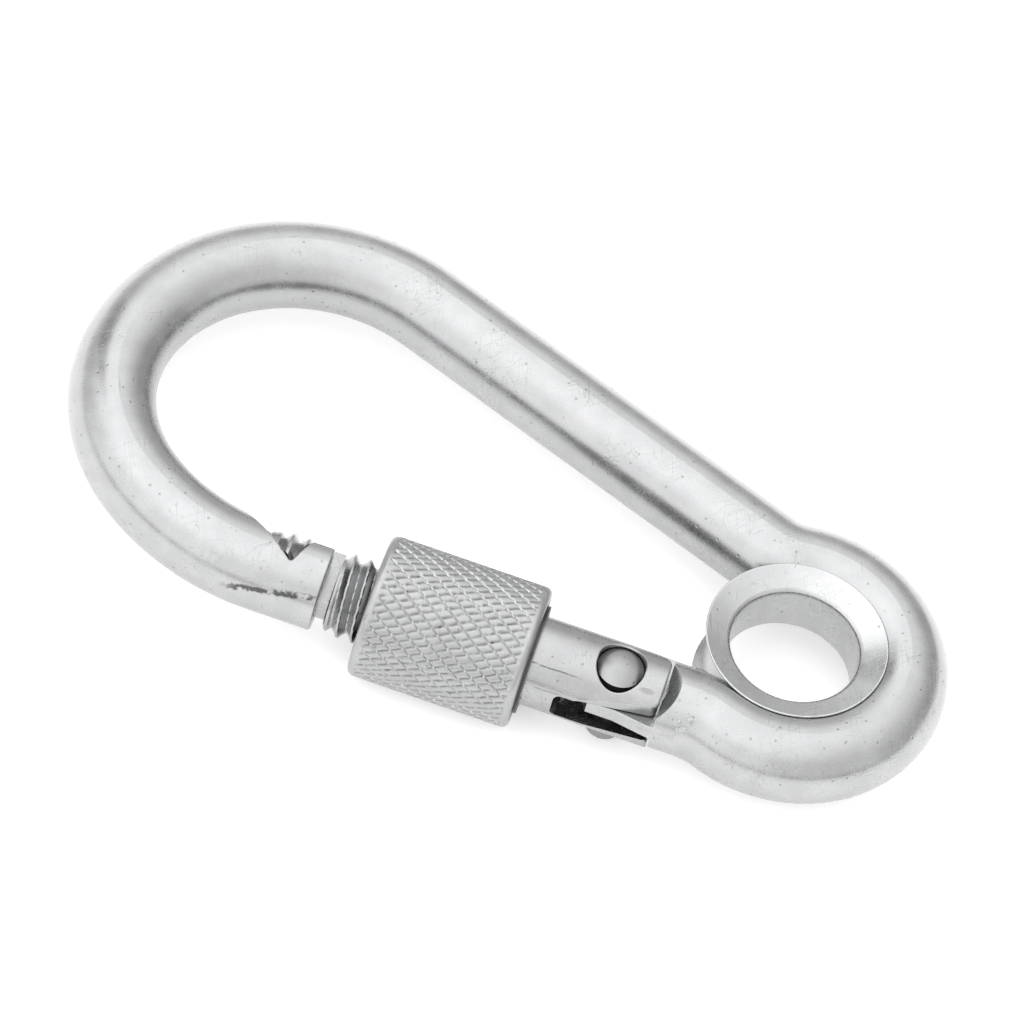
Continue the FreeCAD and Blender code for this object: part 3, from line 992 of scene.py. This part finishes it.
@dataclass(frozen=True)
class ThreadedGate:
    """Gate: a screwed bar, with the latch head in front and the fork behind.

    Sizes are in millimetres, and crest and root are the thread's radii.
    """

    shoulder: float = -28.74
    thread_end: float = -19.4
    bar_start: float = -19.15
    crest: float = 2.72
    root: float = 2.24
    lead: float = 0.28
    run_out: float = 0.3
    overlap: float = 0.05
    face_centre: float = 0.2
    columns: int = 96
    merge: float = 0.002
    slack: float = 0.02

    def screw(self, material: bpy.types.Material) -> bpy.types.Object:
        """Right-handed thread from the shoulder to the plain bar, as a closed round.

        Args:
            material: What it is made of.

        Returns:
            The thread as a piece.
        """
        face, end = self.shoulder, self.bar_start + self.overlap
        full_start = Ring(face + self.lead, self.crest, 0, 1)
        full_end = Ring(self.thread_end - self.run_out, self.crest, 0, 1)
        rings = [Ring(face, 0.0)]
        rings += spread(Ring(face, self.face_centre), Ring(face, self.root), 6)
        rings += spread(Ring(face, self.root), full_start, 5)
        rings += spread(full_start, full_end, 170)
        rings += spread(full_end, Ring(self.thread_end, self.crest), 4)
        rings += [Ring(self.thread_end, self.crest), Ring(end, self.crest), Ring(end, 0.0)]
        lathe = Lathe(deep_slope=0.0, thread_depth=self.crest - self.root)
        return lathe.turn("gate_screw_thread", rings, self.columns, GATE_Y * MM, self.crest * MM,
                          material)

    def carried(self, name: str, low: float, high: float,
                material: bpy.types.Material) -> bpy.types.Object:
        """Copy the part of the gate's CAD mesh between two places along its axis.

        The exact normals of the copy are kept in an attribute while its faces change.

        Args:
            name: The piece's name.
            low: Lowest x in millimetres.
            high: Highest x in millimetres.
            material: The piece's material.

        Returns:
            The copied piece, closed where it was parted.
        """
        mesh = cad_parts["gate_arm"].data.copy()
        mesh.name = name
        exact = mesh.attributes.new("exact_normal", "FLOAT_VECTOR", "CORNER")
        for slot, normal in zip(exact.data, mesh.corner_normals):
            slot.vector = normal.vector
        shell = bmesh.new()
        shell.from_mesh(mesh)
        bmesh.ops.remove_doubles(shell, verts=shell.verts, dist=self.merge * MM)
        waste = [f for f in shell.faces if self.is_waste([v.co.x / MM for v in f.verts], low, high)]
        bmesh.ops.delete(shell, geom=waste, context="FACES")
        rim = [e for e in shell.edges if e.is_boundary]
        layer = shell.loops.layers.float_vector["exact_normal"]
        for face in bmesh.ops.holes_fill(shell, edges=rim, sides=0)["faces"]:
            face.normal_update()
            for loop in face.loops:
                loop[layer] = face.normal
        shell.to_mesh(mesh)
        shell.free()
        mesh.shade_smooth()
        normals = [slot.vector.copy() for slot in mesh.attributes["exact_normal"].data]
        mesh.normals_split_custom_set(normals)
        mesh.attributes.remove(mesh.attributes["exact_normal"])
        mesh.materials.clear()
        mesh.materials.append(material)
        piece = bpy.data.objects.new(name, mesh)
        bpy.context.scene.collection.objects.link(piece)
        return piece

    def is_waste(self, places: list[float], low: float, high: float) -> bool:
        """Whether a face lies outside a stretch of the gate, or is the shoulder's own face.

        Args:
            places: x of each of the face's corners.
            low: Lowest x of the stretch.
            high: Highest x of the stretch.

        Returns:
            True if the face isn't wanted.
        """
        outside = min(places) < low - self.slack or max(places) > high + self.slack
        return outside or all(abs(x - self.shoulder) < self.slack / 2 for x in places)

    def build(self, material: bpy.types.Material) -> None:
        """Make the gate's three stretches and hand them to the frame.

        Args:
            material: What they are made of.
        """
        low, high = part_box("gate_arm")
        pieces = [
            self.screw(material),
            self.carried("gate_fork_bar", self.bar_start, high.x / MM, material),
            self.carried("gate_latch_head", low.x / MM, self.shoulder, material),
        ]
        for piece in pieces:
            adopt(piece, Body.GATE, Slot.GATE, "gate_arm")


@dataclass(frozen=True)
class ForgingMarks:
    """Rough lumps that the forging left beside the hinge.

    Each lump is its place, the surface's normal there and its half sizes, in millimetres.
    """

    grain: float = 1.7
    swell: float = 0.45
    shuffle: float = 3.0

    lumps: tuple[tuple[tuple[float, float, float], tuple[float, float, float],
                       tuple[float, float, float]], ...] = (
        ((-5.30, -8.25, 2.02), (0.0, -0.66, 0.75), (0.42, 0.24, 0.10)),
        ((-5.45, -8.62, 1.72), (0.0, -0.75, 0.66), (0.26, 0.20, 0.09)),
        ((-4.95, -8.08, 2.20), (0.0, -0.60, 0.80), (0.34, 0.20, 0.09)),
        ((-4.60, -8.36, 1.98), (0.1, -0.68, 0.72), (0.24, 0.34, 0.10)),
        ((-4.86, -8.78, 1.52), (0.1, -0.84, 0.54), (0.36, 0.20, 0.10)),
        ((-5.22, -8.88, 1.38), (0.0, -0.88, 0.48), (0.22, 0.16, 0.08)),
        ((-5.55, -3.72, 0.90), (0.0, 0.94, 0.33), (0.34, 0.30, 0.22)),
        ((-5.00, -3.80, 1.10), (0.1, 0.90, 0.42), (0.40, 0.26, 0.16)),
    )

    def build(self, material: bpy.types.Material) -> None:
        """Make the lumps as one piece and hand it to the frame.

        Args:
            material: What it is made of.
        """
        shell = bmesh.new()
        for place, normal, size in self.lumps:
            turn = Vector(normal).to_track_quat("Z", "Y").to_matrix().to_4x4()
            matrix = Matrix.Translation(Vector(place)) @ turn @ Matrix.Diagonal((*size, 1))
            made = bmesh.ops.create_icosphere(shell, subdivisions=4, radius=1.0)
            for vertex in made["verts"]:
                bump = noise_value(vertex.co * self.grain + Vector(place) * self.shuffle)
                vertex.co = matrix @ (vertex.co * (1 + self.swell * bump))
        bmesh.ops.scale(shell, vec=(MM, MM, MM), verts=shell.verts)
        mesh = bpy.data.meshes.new("forging_marks")
        shell.to_mesh(mesh)
        shell.free()
        mesh.shade_smooth()
        mesh.materials.append(material)
        piece = bpy.data.objects.new("forging_marks", mesh)
        bpy.context.scene.collection.objects.link(piece)
        adopt(piece, Body.HOOK, Slot.WIRE)


@dataclass(frozen=True)
class CarriedNodes:
    """CAD parts whose shape stays, dressed in their finishes."""

    def build(self, finishes: dict[str, bpy.types.Material]) -> None:
        """Give each named CAD part its material.

        Args:
            finishes: Material by CAD node.
        """
        for name, material in finishes.items():
            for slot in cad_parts[name].material_slots:
                slot.material = material
            LOG.info("%s: carried over in %s", name, material.name)


# ---------------------------------------------------------------- camera and light

@dataclass(frozen=True)
class CameraRig:
    """Long-lens camera that looks down on the hook from the front.

    The aim is a point of the hook's middle plane, and the roll turns the picture.
    """

    azimuth: float = 3.167
    elevation: float = 53.32
    roll: float = 16.397
    aim: tuple[float, float] = (-19.917 * MM, 4.126 * MM)
    distance: float = 0.66381
    lens: float = 364.94

    def build(self) -> None:
        """Make the camera and set it as the scene's own."""
        az, el, roll = (math.radians(a) for a in (self.azimuth, self.elevation, self.roll))
        back = Vector((math.sin(az) * math.cos(el), -math.cos(az) * math.cos(el), math.sin(el)))
        right = Vector((math.cos(az), math.sin(az), 0))
        up = back.cross(right)
        axis_x = right * math.cos(roll) + up * math.sin(roll)
        axis_y = up * math.cos(roll) - right * math.sin(roll)
        data = bpy.data.cameras.new("camera")
        data.lens = self.lens
        data.sensor_width = 36
        data.clip_start, data.clip_end = 0.05, 10
        camera = bpy.data.objects.new("camera", data)
        bpy.context.scene.collection.objects.link(camera)
        turn = Matrix((axis_x, axis_y, back)).transposed().to_4x4()
        location = Vector((*self.aim, 0)) + back * self.distance
        camera.matrix_world = Matrix.Translation(location) @ turn
        bpy.context.scene.camera = camera


@dataclass(frozen=True)
class Fade:
    """Light that changes smoothly from one strength to another."""

    low: float
    high: float
    start: float
    end: float

    def over(self, place: Signal) -> Signal:
        """The light's strength, as a place goes from the fade's low value to its high one."""
        return place.ramp(self.low, self.high) * (self.end - self.start) + self.start


@dataclass(frozen=True)
class Studio:
    """Pale floor under the hook and a soft light tent over it.

    The tent is brightest above and in front, greyer behind, dim low down and stronger on the
    left. A small dark card stands behind on the left. Places are directions' own x, y and z.
    """

    floor_z: float
    floor_size: float = 6.0
    floor_tone: float = 0.93
    floor_glow: float = 0.3
    turn: float = 0.35
    ahead: Fade = Fade(0.02, 0.16, 0.25, 1.30)
    behind: Fade = Fade(0.3, 0.75, 0.72, 1.37)
    above: Fade = Fade(0.6, 0.95, 0.0, 0.35)
    card: Fade = Fade(0.03, 0.012, 1.0, 0.3)
    card_place: tuple[float, float] = (-0.62, 0.55)
    sideways: Fade = Fade(-0.7, 0.7, 1.15, 0.75)
    strength: float = 1.3

    def build(self) -> None:
        """Make the floor and the light tent."""
        self.floor()
        self.tent()
        bpy.context.scene.view_settings.view_transform = "Standard"

    def floor(self) -> None:
        """Large sheet of pale card that the hook lies on."""
        mesh = bpy.data.meshes.new("floor")
        s = self.floor_size / 2
        z = self.floor_z
        mesh.from_pydata([(-s, -s, z), (s, -s, z), (s, s, z), (-s, s, z)], [], [(0, 1, 2, 3)])
        floor = bpy.data.objects.new("floor", mesh)
        bpy.context.scene.collection.objects.link(floor)
        material = bpy.data.materials.new("floor_card")
        material.use_nodes = True
        shader = material.node_tree.nodes["Principled BSDF"]
        shader.inputs["Base Color"].default_value = (*[self.floor_tone] * 3, 1)
        shader.inputs["Roughness"].default_value = 0.9
        shader.inputs["Specular IOR Level"].default_value = 0.0
        shader.inputs["Emission Color"].default_value = (1, 1, 1, 1)
        shader.inputs["Emission Strength"].default_value = self.floor_glow
        mesh.materials.append(material)

    def tent(self) -> None:
        """World light that changes with direction."""
        world = bpy.data.worlds.new("light_tent")
        bpy.context.scene.world = world
        world.use_nodes = True
        tree = world.node_tree
        direction = tree.nodes.new("ShaderNodeTexCoord").outputs["Generated"]
        x, y, z = parts_of(tree, direction)
        front = y.ramp(self.turn, -self.turn)
        light = self.ahead.over(z) * front + self.behind.over(z) * front.inverse()
        light = light + self.above.over(z)
        card_x, card_y = x - self.card_place[0], y - self.card_place[1]
        card = self.card.over(card_x * card_x + card_y * card_y)
        light = light * card * self.sideways.over(x) * self.strength
        plug(tree, light, tree.nodes["Background"].inputs["Strength"])
        tree.nodes["Background"].inputs["Color"].default_value = (1, 1, 1, 1)


def main() -> None:
    """Build every part of the scene in order."""
    logging.basicConfig(level=logging.INFO)
    CameraRig().build()
    Studio(floor_z=CAD_BOX[0].z).build()
    effects = Effects(grain_group(), pit_group(), scratch_group(), edge_group())
    wire = WireFinish("satin_wire").material(effects)
    gate = GateFinish("drawn_bar", light=0.38, dark=0.32).material(effects)
    turned = SteelFinish("turned_steel", light=0.50, dark=0.44, pit_share=0.03).material(effects)
    rivet = SteelFinish("worn_rivet", light=0.34, dark=0.28, roughness=0.3).material(effects)
    spring = SteelFinish("spring_wire", light=0.42, dark=0.34).material(effects)
    # painted shade: the sleeve's bush is coloured near black to stand for the shadow in the
    # sleeve's back counterbore
    bush = SteelFinish("painted_shade_bush_steel", light=0.10, dark=0.05, roughness=0.4).material(effects)
    knurl = KnurlFinish("knurled_steel", roughness=0.3, light=0.38, dark=0.32).material(effects)
    CarriedNodes().build({"hook_body": wire, "eyelet": turned, "pivot_rivet": rivet,
                          "gate_plunger": turned, "gate_spring": spring, "sleeve_bush": bush})
    ScrewSleeve().build(knurl)
    ThreadedGate().build(gate)
    ForgingMarks().build(wire)


if __name__ == "__main__":
    main()
